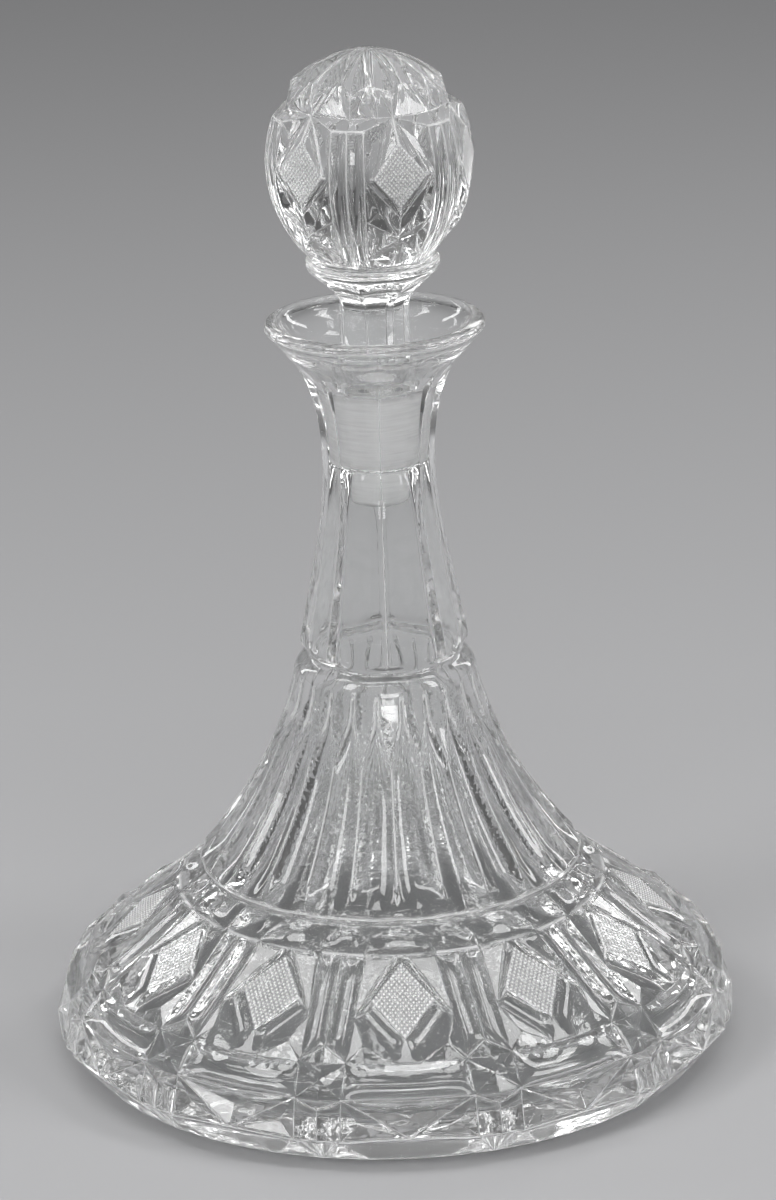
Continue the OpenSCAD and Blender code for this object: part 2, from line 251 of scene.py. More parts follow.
def hatched(top: Array, side: Array, low: Array, count: int, proud: float, toward: Array) -> Sheet:
    """A diamond of small pyramids: a bilinear grid between its corners, each cell with a proud point.

    Args:
        top: the upper corner.
        side: one side corner; the other is its mirror image.
        low: the lower corner.
        count: cells along each side.
        proud: height of the pyramids.
        toward: outward direction.

    Returns:
        The sheet, a little matt in its grooves and more on its points.
    """
    s = np.linspace(0.0, 1.0, count + 1)
    u, v = (x[:, :, None] for x in np.meshgrid(s, s, indexing="ij"))
    c = [top, side, low, side * (1, -1, 1)]
    grid = (1 - u) * (1 - v) * c[0] + u * (1 - v) * c[1] + u * v * c[2] + (1 - u) * v * c[3]
    tips = (grid[:-1, :-1] + grid[1:, :-1] + grid[1:, 1:] + grid[:-1, 1:]) / 4.0 + proud * toward
    ids = np.arange((count + 1) ** 2).reshape(count + 1, count + 1)
    tip = (count + 1) ** 2 + np.arange(count**2).reshape(count, count)
    ring = [ids[:-1, :-1], ids[1:, :-1], ids[1:, 1:], ids[:-1, 1:]]
    triangles = np.concatenate(
        [np.stack([ring[i], ring[(i + 1) % 4], tip], axis=-1).reshape(-1, 3) for i in range(4)]
    )
    points = np.vstack([grid.reshape(-1, 3), tips.reshape(-1, 3)])
    matt = np.concatenate([np.full((count + 1) ** 2, HATCH_GROOVE), np.full(count**2, HATCH_POINT)])
    return Sheet(points, np.zeros((0, 4), int), triangles, matt)


def dented(sides: list[Array], deep: Array) -> list[Sheet]:
    """Flat facets from each side of a field to one point sunk in it."""
    return [ruled(side, deep) for side in sides]


def halved(outer: Array, inner: Array) -> Sheet:
    """A closed band from a ring of points to one with half as many: three triangles to two steps."""
    n = len(inner)
    k = np.arange(n)
    a, b, c = 2 * k, 2 * k + 1, (2 * k + 2) % (2 * n)
    p, q = 2 * n + k, 2 * n + (k + 1) % n
    triangles = np.vstack([np.stack([a, b, p], -1), np.stack([b, q, p], -1), np.stack([b, c, q], -1)])
    return Sheet(np.vstack([outer, inner]), np.zeros((0, 4), int), triangles, np.zeros(3 * n))


def combined(sheets: list[Sheet]) -> Sheet:
    """All the sheets as one, with their faces counted on."""
    starts = np.cumsum([0] + [len(s.points) for s in sheets[:-1]])
    return Sheet(
        np.vstack([s.points for s in sheets]),
        np.vstack([s.quads + k for s, k in zip(sheets, starts)]),
        np.vstack([s.triangles + k for s, k in zip(sheets, starts)]),
        np.concatenate([s.matt for s in sheets]),
    )


def mirrored(sheet: Sheet) -> Sheet:
    """The sheet's mirror image in the upright plane at angle 0."""
    return Sheet(sheet.points * (1, -1, 1), sheet.quads[:, ::-1], sheet.triangles[:, ::-1], sheet.matt)


def turned(points: Array, degrees: float) -> Array:
    """Points turned about the axis."""
    c, s = math.cos(math.radians(degrees)), math.sin(math.radians(degrees))
    return points @ np.array([[c, s, 0], [-s, c, 0], [0, 0, 1]])


def around(sheet: Sheet, count: int) -> Sheet:
    """Count copies of the sheet, spread evenly about the axis."""
    copies = [
        Sheet(turned(sheet.points, 360.0 * k / count), sheet.quads, sheet.triangles, sheet.matt)
        for k in range(count)
    ]
    return combined(copies)


def placed(name: str, data: bpy.types.ID) -> bpy.types.Object:
    """Makes an object and links it to the scene."""
    made = bpy.data.objects.new(name, data)
    bpy.context.scene.collection.objects.link(made)
    return made


@dataclass(frozen=True)
class Wall:
    """A straight stretch of the turned outline, from its lower to its upper point."""

    low: Profile
    top: Profile

    def radius(self, down: float) -> float:
        """Radius at a share of the way down from the top."""
        return self.top[0] + (self.low[0] - self.top[0]) * down

    def normal(self, degrees: Union[float, Array]) -> Array:
        """Outward direction at an angle."""
        rise = np.array([self.top[0] - self.low[0], self.top[1] - self.low[1]])
        rise = rise / np.linalg.norm(rise)
        return swept(rise[1], degrees, -rise[0])

    def at(self, down: float, degrees: float, proud: float = 0.0) -> Array:
        """Point at a share of the way down and at an angle, proud of the wall by a distance."""
        height = self.top[1] + (self.low[1] - self.top[1]) * down
        return swept(self.radius(down), degrees, height) + proud * self.normal(degrees)


@dataclass
class NodeTree:
    """A material's or world's nodes, made by one method."""

    tree: bpy.types.NodeTree

    @classmethod
    def of(cls, owner: Union[bpy.types.Material, bpy.types.World]) -> "NodeTree":
        """Turns on the nodes of a material or world, and clears them."""
        owner.use_nodes = True
        owner.node_tree.nodes.clear()
        return cls(owner.node_tree)

    def node(self, kind: str, settings: dict[str, Any], inputs: dict[Any, Any]) -> bpy.types.Node:
        """Adds a node.

        Args:
            kind: the node's type.
            settings: its settings, set first.
            inputs: values or wires for its sockets, by name or number.

        Returns:
            The node.
        """
        made = self.tree.nodes.new(kind)
        for name, value in settings.items():
            setattr(made, name, value)
        for name, value in inputs.items():
            if isinstance(value, Wire):
                self.tree.links.new(value.socket, made.inputs[name])
            else:
                made.inputs[name].default_value = value
        return made

    def wire(self, kind: str, settings: dict[str, Any], inputs: dict[Any, Any], output: Any = 0) -> "Wire":
        """Adds a node and gives one of its outputs."""
        return Wire(self, self.node(kind, settings, inputs).outputs[output])


@dataclass
class Wire:
    """A value in a node tree; arithmetic on it adds Math nodes."""

    owner: NodeTree
    socket: bpy.types.NodeSocket

    def _math(self, operation: str, left: Any, right: Any) -> "Wire":
        """Adds one Math node."""
        return self.owner.wire("ShaderNodeMath", {"operation": operation}, {0: left, 1: right})

    def __add__(self, other: Any) -> "Wire":
        """self + other."""
        return self._math("ADD", self, other)

    def __radd__(self, other: Any) -> "Wire":
        """other + self."""
        return self._math("ADD", other, self)

    def __sub__(self, other: Any) -> "Wire":
        """self - other."""
        return self._math("SUBTRACT", self, other)

    def __rsub__(self, other: Any) -> "Wire":
        """other - self."""
        return self._math("SUBTRACT", other, self)

    def __mul__(self, other: Any) -> "Wire":
        """self * other."""
        return self._math("MULTIPLY", self, other)


@dataclass(frozen=True)
class ClearGlass:
    """Colourless pressed glass, polished by fire, with ground and cross-hatched places that are matt, and
    ridges whitened as a painted highlight.
    """

    name: str = "clear_glass"
    ior: float = 1.52
    tint: tuple[float, float, float, float] = (0.985, 0.99, 0.988, 1.0)
    ground_tone: float = 0.8
    ground_rings: float = 0.34
    onset: float = 0.12
    polish: float = 0.012
    ground: float = 0.46
    ground_spread: float = 0.32
    sway: float = 0.02
    white_gain: float = 1.1
    flow_scale: float = 95.0
    line_scale: float = 1700.0
    speckle_scale: float = 2600.0
    pit_scale: float = 430.0
    line_shape: Triple = (0.06, 0.06, 1.0)
    pit_shape: Triple = (1.0, 1.0, 1.7)
    ripple: float = 0.00012
    grain: float = 0.00006
    peel: float = 0.0016

    def noise(self, tree: NodeTree, place: Wire, scale: float, detail: float) -> Wire:
        """Adds a noise texture and gives its value."""
        inputs = {"Vector": place, "Scale": scale, "Detail": detail}
        return tree.wire("ShaderNodeTexNoise", {}, inputs, "Fac")

    def material(self) -> bpy.types.Material:
        """Makes the material.

        Returns:
            Glass whose roughness, whiteness and fine relief follow the point attribute matt; on the ridges
            that whiteness is a painted highlight.
        """
        made = bpy.data.materials.new(self.name)
        tree = NodeTree.of(made)
        place = tree.wire("ShaderNodeTexCoord", {}, {}, "Object")
        matt = tree.wire("ShaderNodeAttribute", {"attribute_name": "matt"}, {}, "Fac")
        flow = self.noise(tree, place, self.flow_scale, 2.0)
        stretch = tree.wire("ShaderNodeMapping", {}, {"Vector": place, "Scale": self.line_shape}, "Vector")
        lines = self.noise(tree, stretch, self.line_scale, 3.0)
        speckle = self.noise(tree, place, self.speckle_scale, 2.0)
        squat = tree.wire("ShaderNodeMapping", {}, {"Vector": place, "Scale": self.pit_shape}, "Vector")
        pits = self.noise(tree, squat, self.pit_scale, 1.0)
        coarse = self.ground - self.ground_spread / 2 + speckle * self.ground_spread
        roughness = self.polish + flow * self.sway + matt * coarse
        relief = flow * self.ripple + matt * (lines + speckle) * self.grain
        relief = relief + matt * (1.0 - matt) * pits * self.peel
        height = {"Strength": 1.0, "Distance": 1.0, "Height": relief}
        bump = tree.wire("ShaderNodeBump", {}, height, "Normal")
        shared = {"Roughness": roughness, "Normal": bump, "IOR": self.ior}
        clear = {"Base Color": self.tint, "Transmission Weight": 1.0, **shared}
        frost = {
            "Base Color": self.ground_tone + lines * self.ground_rings,
            "Specular IOR Level": 0.0,
            **shared,
        }
        # Mix towards the white frost: real frosting on the ground and hatched places, painted highlight on
        # the ridges.
        white = tree.wire(
            "ShaderNodeMath",
            {"operation": "MULTIPLY", "use_clamp": True},
            {0: matt - self.onset, 1: self.white_gain},
        )
        shader = tree.wire(
            "ShaderNodeMixShader",
            {},
            {
                0: white,
                1: tree.wire("ShaderNodeBsdfPrincipled", {}, clear),
                2: tree.wire("ShaderNodeBsdfPrincipled", {}, frost),
            },
        )
        tree.node("ShaderNodeOutputMaterial", {}, {"Surface": shader})
        return made


@dataclass
class GlassPiece:
    """A closed glass piece, made from sheets."""

    name: str
    body: str
    node: str
    slot: str
    turn: float
    cells: int = 1
    hold: float = 0.12
    rounding: float = 0.5
    # Strength of the painted highlight on the ridges, given as a matt value that whitens them.
    painted_ridge_highlight: float = 0.5
    blunt: float = 22.0
    keen: float = 50.0

    @property
    def half(self) -> float:
        """Angle from a diamond's middle to a bar's middle."""
        return 180.0 / self.cells

    def ridges(self, work: bmesh.types.BMesh) -> Array:
        """Finds how keen the ridge at each point is, from the sharpest edge that meets there: the mask of
        the painted ridge highlight.

        Args:
            work: the welded surface, its faces outwards.

        Returns:
            One strength for each point: 0 up to a bend of the angle blunt, 1 from the angle keen.
        """
        work.verts.index_update()
        bend = np.zeros(len(work.verts))
        for edge in work.edges:
            angle = math.degrees(edge.calc_face_angle_signed(0.0))
            for vert in edge.verts:
                bend[vert.index] = max(bend[vert.index], angle)
        return eased(bend, self.blunt, self.keen)

    def rounded(self, mesh: bpy.types.Mesh, free: Array) -> None:
        """Rounds the ridges: points move towards their neighbours' mean, weighted by 1 / distance.

        Args:
            mesh: the welded mesh.
            free: whether each point may move.
        """
        count, edges = len(mesh.vertices), len(mesh.edges)
        points = np.empty(count * 3)
        mesh.vertices.foreach_get("co", points)
        points = points.reshape(-1, 3)
        ends = np.empty(edges * 2, int)
        mesh.edges.foreach_get("vertices", ends)
        first, second = ends.reshape(-1, 2).T
        step = points[second] - points[first]
        weight = 1.0 / np.maximum(np.linalg.norm(step, axis=1), SHORTEST)
        total = np.bincount(first, weight, count) + np.bincount(second, weight, count)
        pull = [
            np.bincount(first, weight * along, count) - np.bincount(second, weight * along, count)
            for along in step.T
        ]
        points += self.rounding * free[:, None] * np.stack(pull, axis=-1) / total[:, None]
        mesh.vertices.foreach_set("co", points.reshape(-1))

    def made(self, sheet: Sheet, finish: bpy.types.Material) -> bpy.types.Object:
        """Makes the piece, welds and rounds it, paints a highlight on its ridges, and puts it on its body in
        place of its CAD node.

        Args:
            sheet: the whole surface.
            finish: its material.

        Returns:
            The piece's object.
        """
        points = turned(sheet.points, FRONT + self.turn) * MM
        mesh = bpy.data.meshes.new(self.name)
        mesh.from_pydata(points.tolist(), [], sheet.quads.tolist() + sheet.triangles.tolist())
        matt = mesh.attributes.new("matt", "FLOAT", "POINT")
        matt.data.foreach_set("value", sheet.matt.astype(np.float32))
        work = bmesh.new()
        work.from_mesh(mesh)
        bmesh.ops.remove_doubles(work, verts=work.verts, dist=WELD)
        bmesh.ops.recalc_face_normals(work, faces=work.faces)
        loose = sum(not edge.is_manifold for edge in work.edges)
        ridge = self.ridges(work)
        work.to_mesh(mesh)
        work.free()
        values = np.empty(len(mesh.vertices), np.float32)
        mesh.attributes["matt"].data.foreach_get("value", values)
        free = values < self.hold
        self.rounded(mesh, free)
        # Painted highlight: free points on ridges get a higher matt value, which whitens them through the
        # frost shader.
        values = np.where(free, np.maximum(values, self.painted_ridge_highlight * ridge), values).astype(np.float32)
        mesh.attributes["matt"].data.foreach_set("value", values)
        mesh.polygons.foreach_set("use_smooth", np.ones(len(mesh.polygons), bool))
        mesh.materials.append(finish)
        mesh.update()
        piece = placed(self.name, mesh)
        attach(piece, self.body)
        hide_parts(self.node)
        LOG.info("%s: %d faces, %d open edges", self.name, len(mesh.polygons), loose)
        return piece


@dataclass
class DecanterBody(GlassPiece):
    """The bottle: half a diamond and half a double bar fill a half cell, mirrored and repeated."""

    name: str = "cut_glass_body"
    body: str = "decanter"
    node: str = "decanter_body"
    slot: str = "clear_glass"
    turn: float = 0.0
    foot: Profile = (92.0, 0.0)
    girdle: Profile = (100.0, 9.0)
    band_low: Profile = (96.5, 20.0)
    band_top: Profile = (89.5, 28.0)
    ring_low: Profile = (62.0, 49.0)
    ring_top: Profile = (53.7, 54.5)
    shoulder_low: Profile = (56.3, 57.5)
    shoulder_top: Profile = (26.8, 111.0)
    shoulder_radius: float = 125.0
    groove: Profile = (22.2, 119.5)
    neck_foot: Profile = (24.4, 123.5)
    waist: Profile = (16.2, 175.0)
    lip_side: Profile = (31.2, 215.0)
    socket_top: Profile = (10.3, 199.0)
    socket_low: Profile = (9.15, 176.0)
    roof_top: Profile = (19.3, 111.0)
    roof_foot: Profile = (47.0, 51.0)
    hollow_side: Profile = (84.4, 20.6)
    floor: float = 9.0
    cells: int = 12
    bar_half: float = 6.6
    hatch_half: float = 8.9
    ridge: float = 0.9
    strip_depth: float = 0.9
    bar_depth: float = 1.8
    band_depth: float = 1.8
    skirt_flute: float = 1.7
    hatch_cells: int = 12
    hatch_proud: float = 0.5
    flute_depth: float = 2.5
    flute_fade: float = 0.7
    arch_from: float = 0.64
    arch_rise: float = 0.28
    arch_curve: float = 1.6
    foot_facet: float = 1.3
    foot_facet_top: float = 67.0
    scoop_depth: float = 1.6
    scoop_wide: float = 0.9
    scoop_high: float = 0.88
    scoop_rib: float = 0.45
    flute_columns: int = 16
    neck_columns: int = 192
    panels: int = 8
    panel_fit: float = 0.99
    panel_crowd: float = 0.7
    panel_fade: Span = (199.0, 209.5)
    foot_rise: Span = (119.6, 123.0)
    lip_rise: Span = (214.0, 217.5)
    bore_fit: float = 1.04
    bore_rise: Span = (113.0, 124.0)
    bore_fade: Span = (164.0, 174.0)
    peel_rise: Span = (20.0, 30.0)
    peel_fade: Span = (98.0, 116.0)
    dimple_rise: Span = (22.0, 45.0)
    dimple: float = 0.07
    inner_matt: float = 0.1
    foot_arm: float = 6.5

    def edge(self, radius: float) -> float:
        """Angle of a double bar's edge at a radius."""
        return self.half - math.degrees(math.asin(self.bar_half / radius))

    def corners(self) -> Corners:
        """Corner points of the half cell, from the ring down to the foot, by name."""
        slope, band = Wall(self.band_top, self.ring_low), Wall(self.band_low, self.band_top)
        skirt = Wall(self.girdle, self.band_low)
        half, edge = self.half, self.edge
        e0, e1 = edge(slope.radius(0.0)), edge(slope.radius(1.0))
        e2, e3 = edge(band.radius(1.0)), edge(skirt.radius(1.0))
        side = math.degrees(math.asin(self.hatch_half / slope.radius(0.42)))
        return {
            "top": slope.at(0.0, 0.0, 0.35),
            "top_side": slope.at(0.0, 0.15 * e0, 0.35),
            "bar_top": slope.at(0.0, e0, 0.5),
            "ridge_top": slope.at(0.0, half, self.ridge),
            "diamond_side": slope.at(0.56, edge(slope.radius(0.56)), 0.2),
            "hatch_top": slope.at(0.08, 0.0, 0.1),
            "hatch_side": slope.at(0.42, side, 0.1),
            "hatch_low": slope.at(0.77, 0.0, 0.1),
            "low": slope.at(1.0, 0.0, 0.35),
            "low_side": slope.at(1.0, 0.2 * e1, 0.35),
            "bar_low": slope.at(1.0, e1, 0.6),
            "ridge_low": slope.at(0.86, half, self.ridge),
            "chevron_low": slope.at(1.0, half, -0.5),
            "spandrel": slope.at(0.85, 0.75 * edge(slope.radius(0.85)), 1.6),
            "band_mid": band.at(0.5, half, 1.8),
            "skirt": band.at(1.0, 0.0, 0.35),
            "skirt_side": band.at(1.0, 0.2 * e2, 0.35),
            "skirt_bar": band.at(1.0, e2, 0.6),
            "skirt_ridge": band.at(1.0, half, -0.6),
            "flute_top": skirt.at(0.24, half, self.ridge),
            "saltire": skirt.at(0.9, 0.0, 0.1),
            "dent_top": skirt.at(0.36, 0.0, -1.7),
            "dent_side": skirt.at(0.58, 0.74 * e3, -1.7),
            "girdle_bar": skirt.at(1.0, e3, -0.2),
            "girdle_ridge": skirt.at(1.0, half, 0.0),
            "foot": swept(self.foot[0], 0.0, 0.0),
            "foot_arm": swept(self.foot[0], self.foot_arm, 0.0),
            "foot_ridge": swept(self.foot[0], half, 0.0),
        }

    def slope(self, p: Corners) -> list[Sheet]:
        """Half a framed diamond and half a double bar of the slope.

        Args:
            p: the half cell's corners.

        Returns:
            Its sheets, without the hatched diamond.
        """
        wall = Wall(self.band_top, self.ring_low)
        out, bar_out = wall.normal(self.half / 4), wall.normal(0.8 * self.half)
        n, even = self.hatch_cells, Spacing.EVEN
        upper = line(p["top_side"], p["diamond_side"], n, even)
        lower = line(p["diamond_side"], p["low_side"], n, even)
        bar_up = line(p["bar_top"], p["diamond_side"], n, even)
        bar_down = line(p["diamond_side"], p["bar_low"], n, even)
        bar = joined(bar_up, bar_down)
        ridge = line(p["ridge_top"], p["ridge_low"], 2 * n, even)
        hatch_up = line(p["hatch_top"], p["hatch_side"], n, even)
        hatch_down = line(p["hatch_side"], p["hatch_low"], n, even)
        sink = {"depth": self.strip_depth, "toward": out}
        return [
            ruled(upper, hatch_up, along=run_out(upper, True, False), **sink),
            ruled(lower, hatch_down, along=run_out(lower, False, True), **sink),
            ruled(line(p["top"], p["top_side"], 2, even), p["hatch_top"]),
            ruled(line(p["low"], p["low_side"], 2, even), p["hatch_low"]),
            ruled(upper, bar_up),
            ruled(lower, p["spandrel"]),
            ruled(bar_down, p["spandrel"]),
            ruled(line(p["low_side"], p["bar_low"], 6), p["spandrel"]),
            ruled(bar, ridge, 8, depth=self.bar_depth, toward=bar_out, along=run_out(bar, True, True)),
            ruled(line(p["ridge_low"], p["bar_low"]), line(p["chevron_low"], p["bar_low"])),
        ]

    def hatch(self, p: Corners) -> Sheet:
        """The cross-hatched diamond of one cell."""
        out = Wall(self.band_top, self.ring_low).normal(0.0)
        corners = p["hatch_top"], p["hatch_side"], p["hatch_low"]
        return hatched(*corners, self.hatch_cells, self.hatch_proud, out)

    def band(self, p: Corners) -> list[Sheet]:
        """Half the long hollow over a diamond and half the pyramid over a bar."""
        wall = Wall(self.band_low, self.band_top)
        top = stepped(p["low"], p["low_side"], p["bar_low"])
        low = stepped(p["skirt"], p["skirt_side"], p["skirt_bar"])
        angles = np.degrees(np.arctan2(top[:, 1], top[:, 0]))
        along = run_out(top, False, True)
        return [
            ruled(top, low, 8, depth=self.band_depth, toward=wall.normal(angles), along=along),
            ruled(line(p["bar_low"], p["skirt_bar"]), p["band_mid"]),
            ruled(line(p["bar_low"], p["chevron_low"]), p["band_mid"]),
            ruled(line(p["skirt_bar"], p["skirt_ridge"]), p["band_mid"]),
        ]

    def flute_end(self, p: Corners) -> Array:
        """End of a skirt flute on the widest edge: a line sunk by depth sin(pi s)."""
        fall = self.skirt_flute * np.sin(np.pi * spaced(8))[:, None]
        return line(p["girdle_bar"], p["girdle_ridge"]) - fall * self.flute_out()

    def flute_out(self) -> Array:
        """Outward direction of a skirt flute."""
        return Wall(self.girdle, self.band_low).normal(0.87 * self.half)

    def skirt(self, p: Corners) -> list[Sheet]:
        """Half the saltire under a diamond, and half the chevron and one of the two flutes under a bar."""
        top = stepped(p["skirt"], p["skirt_side"], p["skirt_bar"])
        arm = line(p["skirt_bar"], p["saltire"])
        leg = line(p["girdle_bar"], p["saltire"])
        side = line(p["skirt_bar"], p["girdle_bar"])
        ridge = line(p["flute_top"], p["girdle_ridge"])
        flute = {"depth": self.skirt_flute, "toward": self.flute_out()}
        return [
            *dented([top, arm], p["dent_top"]),
            *dented([side, arm, leg], p["dent_side"]),
            ruled(side, ridge, 8, along=run_out(side, True, False), **flute),
            ruled(line(p["flute_top"], p["skirt_bar"]), line(p["skirt_ridge"], p["skirt_bar"])),
        ]

    def bevel(self, p: Corners) -> list[Sheet]:
        """The triangular facets from the saltire and the widest edge to the foot, and the flat foot."""
        even = Spacing.EVEN
        first = line(p["foot"], p["foot_arm"], 4, even)
        second = line(p["foot_arm"], p["foot_ridge"], 4, even)
        rim = joined(first, second)
        return [
            ruled(first, p["saltire"], 4),
            ruled(line(p["girdle_bar"], p["saltire"]), p["foot_arm"], 4),
            ruled(second, p["girdle_bar"], 4),
            ruled(self.flute_end(p), p["foot_ridge"], 4),
            ruled(rim, np.zeros(3)),
        ]

    def ring(self, p: Corners) -> list[Sheet]:
        """Half of the two scoops of the ring, with a rib between: depth sqrt(1 - (v / a)^2 - (s / b)^2)."""
        wall = Wall(self.ring_low, self.ring_top)
        s = spaced(10, Spacing.EVEN)[None, :]
        steps = self.flute_columns // 2
        over_diamond = stepped(p["top"], p["top_side"], p["bar_top"])
        over_bar = line(p["ridge_top"], p["bar_top"])
        made = []
        for low, first in ((over_diamond, 0.0), (over_bar, self.half)):
            top_angles = np.linspace(first, self.half / 2, steps + 1)
            top = swept(self.ring_top[0], top_angles, self.ring_top[1])
            angles = np.degrees(np.arctan2(low[:, 1], low[:, 0]))
            v = travelled(low)[:, None]
            bowl = 1.0 - (v / self.scoop_wide) ** 2 - (s / self.scoop_high) ** 2
            fall = np.sqrt(np.clip(bowl, 0.0, 1.0)) * eased(s, 0.0, 0.2)
            rib = eased(v, self.scoop_wide, 1.0) * eased(s, 0.0, 0.2) * (1.0 - eased(s, 0.8, 1.0))
            sunk = self.scoop_depth * fall - self.scoop_rib * rib
            grid = low[:, None, :] + (top - low)[:, None, :] * s[:, :, None]
            grid = grid - sunk[:, :, None] * wall.normal(angles)[:, None, :]
            made.append(lattice(grid))
        return made

    def shoulder(self) -> list[Sheet]:
        """The fluted shoulder, collar and groove: an arc, sunk by depth (1 - (x / w)^2) in each flute.

        Returns:
            The shoulder's lattice and the band that halves its columns under the neck.
        """
        a, b = np.array(self.shoulder_low), np.array(self.shoulder_top)
        along, span = (b - a) / np.linalg.norm(b - a), np.linalg.norm(b - a) / 2
        centre = (a + b) / 2 + np.array([along[1], -along[0]]) * math.sqrt(self.shoulder_radius**2 - span**2)
        ends = [math.atan2(*(q - centre)[::-1]) % (2 * math.pi) for q in (a, b)]
        share = np.linspace(0.0, 1.0, 47)
        bearing = ends[0] + (ends[1] - ends[0]) * share
        out = -np.stack([np.cos(bearing), np.sin(bearing)], axis=-1)
        arc = centre - self.shoulder_radius * out
        under = np.array([self.ring_top]) + (a - self.ring_top) * np.array([[0.0], [0.25], [0.6], [0.9]])
        collar = [(26.6, 112.4), (26.25, 114.2), (25.7, 115.6), (24.9, 116.7), (24.0, 117.4), (23.1, 117.9),
                  (22.5, 118.4), (22.25, 118.9)]
        outline = np.vstack([under, arc, collar])
        normal = np.vstack([np.tile(out[0], (len(under), 1)), out, np.tile([1.0, 0.0], (len(collar), 1))])
        place = np.concatenate([np.zeros(len(under)), share, np.ones(len(collar))])
        deepening = 0.55 + 0.45 * eased(share, 0.0, 0.16)
        strength = np.concatenate([[0.0, 0.15, 0.35, 0.5], deepening, np.zeros(len(collar))])
        columns = 2 * self.cells * self.flute_columns
        degrees = bearings(columns)
        rib = self.half / 2
        across = np.abs((degrees % self.half) - rib)
        arch = np.clip((place - self.arch_from) / self.arch_rise, 0.0, 1.0)
        width = rib * np.clip(1.0 - arch**self.arch_curve, 1e-3, 1.0)
        depth = self.flute_depth * strength * (outline[:, 0] / self.shoulder_low[0]) ** self.flute_fade
        hollow = depth[:, None] * np.clip(1.0 - (across[None, :] / width[:, None]) ** 2, 0.0, 1.0)
        reach = self.foot_facet_top - self.shoulder_low[1]
        facet = self.foot_facet * np.clip((self.foot_facet_top - outline[:, 1]) / reach, 0.0, 1.0) * strength
        sunk = np.maximum(hollow, facet[:, None])
        radius = outline[:, :1] - sunk * normal[:, :1]
        height = outline[:, 1:] - sunk * normal[:, 1:]
        neck_ring = swept(self.groove[0], bearings(self.neck_columns), self.groove[1])
        grid = swept(radius, degrees[None, :], height)
        return [lattice(grid, wrap=True), halved(grid[-1], neck_ring)]

    def neck_outline(self) -> tuple[Array, Array]:
        """Outline points from the groove over the lip to the middle of the floor.

        Returns:
            The outside points up to the lip's crest, and the inside points down from it.
        """
        foot = [self.groove, (22.6, 120.2), (23.6, 120.9), (24.25, 121.6), (24.4, 122.3)]
        lower = bezier([self.neck_foot, (19.07, 149.3), (16.2, 162.2), self.waist], 26)
        upper = bezier([self.waist, (16.2, 197.8), (22.95, 206.2), self.lip_side], 22)[1:]
        lip = [(31.2, 215.9), (30.8, 216.8), (30.0, 217.3), (28.7, 217.5)]
        crest = [(27.5, 217.2), (26.7, 216.3)]
        mouth = bezier([(26.2, 215.0), (21.2, 207.8), (10.8, 207.0), self.socket_top], 12)
        socket = line(self.socket_top, self.socket_low, 10, Spacing.EVEN)[1:]
        bore = [(9.3, 175.7), (9.9, 175.2), (10.3, 174.0), (10.7, 170.0), (11.15, 164.0), (11.9, 158.0),
                (12.7, 151.5), (13.5, 145.0), (14.3, 138.5), (15.1, 132.5), (15.8, 127.0), (16.6, 121.5),
                (17.7, 116.5), self.roof_top]
        rise = np.linspace(0.0, 1.0, 30)[1:, None]
        top, pull, low = (np.array(q) for q in (self.roof_top, (26.5, 78.0), self.roof_foot))
        roof = (1 - rise) ** 2 * top + 2 * rise * (1 - rise) * pull + rise**2 * low
        slope = line(low, self.hollow_side, 12, Spacing.EVEN)[1:]
        side = [(86.6, 18.6), (88.2, 16.6), (88.9, 14.6), (88.7, 12.8), (87.7, 11.2), (85.6, 9.9),
                (82.4, 9.2)]
        flat = [(radius, self.floor) for radius in (78.0, 70.0, 58.0, 45.0, 32.0, 20.0, 9.0)]
        inner = np.vstack([bore, roof, slope, side + flat])
        # The joins of the bore, roof, slope and floor are smoothed with the weights 1, 2, 1.
        for _ in range(3):
            inner[5:-4] = (inner[4:-5] + 2.0 * inner[5:-4] + inner[6:-3]) / 4.0
        outside = np.vstack([foot, lower, upper, lip])
        inside = np.vstack([crest, mouth, socket, inner, [[0.0, self.floor]]])
        return outside, inside

    def neck(self) -> Sheet:
        """The panelled neck, lip, ground socket and hollow, as one lattice of rows round the axis.

        A panel is the smaller of the turned radius and R cos(22.5) / cos(a - a0), weighted by how strong the
        panel is at that height, and the bore behind it has panels too. The hollow is dimpled by products of
        sines of angle and height.

        Returns:
            The sheet, matt in the socket and a little so in the hollow.
        """
        outside, inside = self.neck_outline()
        outline = np.vstack([outside, inside])
        is_in = (np.arange(len(outline)) >= len(outside))[:, None]
        r, z = outline[:, :1], outline[:, 1:]
        pitch = 360.0 / self.panels
        even = bearings(self.neck_columns)
        edged = panel_bearings(self.panels, self.neck_columns, self.panel_crowd)
        grip = np.where(is_in, eased(z, *self.lip_rise), eased(z, *self.foot_rise))
        degrees = even[None, :] + grip * (edged - even)[None, :]
        off = (degrees % pitch) - pitch / 2
        panel = 1.0 - eased(z, *self.panel_fade)
        flat = self.panel_fit * math.cos(math.radians(pitch / 2)) / np.cos(np.radians(off))
        a = np.radians(degrees)
        swell = np.sin(23 * a + 0.9 * z) * np.sin(0.7 * z - 11 * a + 1.0)
        swell = swell + 0.6 * np.sin(37 * a - 0.55 * z + 2.0) * np.sin(17 * a + 1.1 * z)
        low = is_in * (1.0 - eased(z, *self.peel_fade))
        corner = np.where(z < self.neck_foot[1], self.neck_foot[0], r)
        bore = eased(z, *self.bore_rise) * (1.0 - eased(z, *self.bore_fade))
        hollow = r * (1.0 + bore * (self.bore_fit / np.cos(np.radians(off)) - 1.0))
        cut = np.where(is_in, hollow, np.minimum(r, corner * (1.0 + panel * (flat - 1.0))))
        radius = cut + self.dimple * low * eased(z, *self.dimple_rise) * swell
        down, up = z - self.socket_low[1], z - self.socket_top[1]
        ground = is_in * eased(down, -0.8, 0.4) * (1.0 - eased(up, -0.6, 0.6))
        matt = np.maximum(ground, self.inner_matt * low * eased(z, *self.peel_rise))
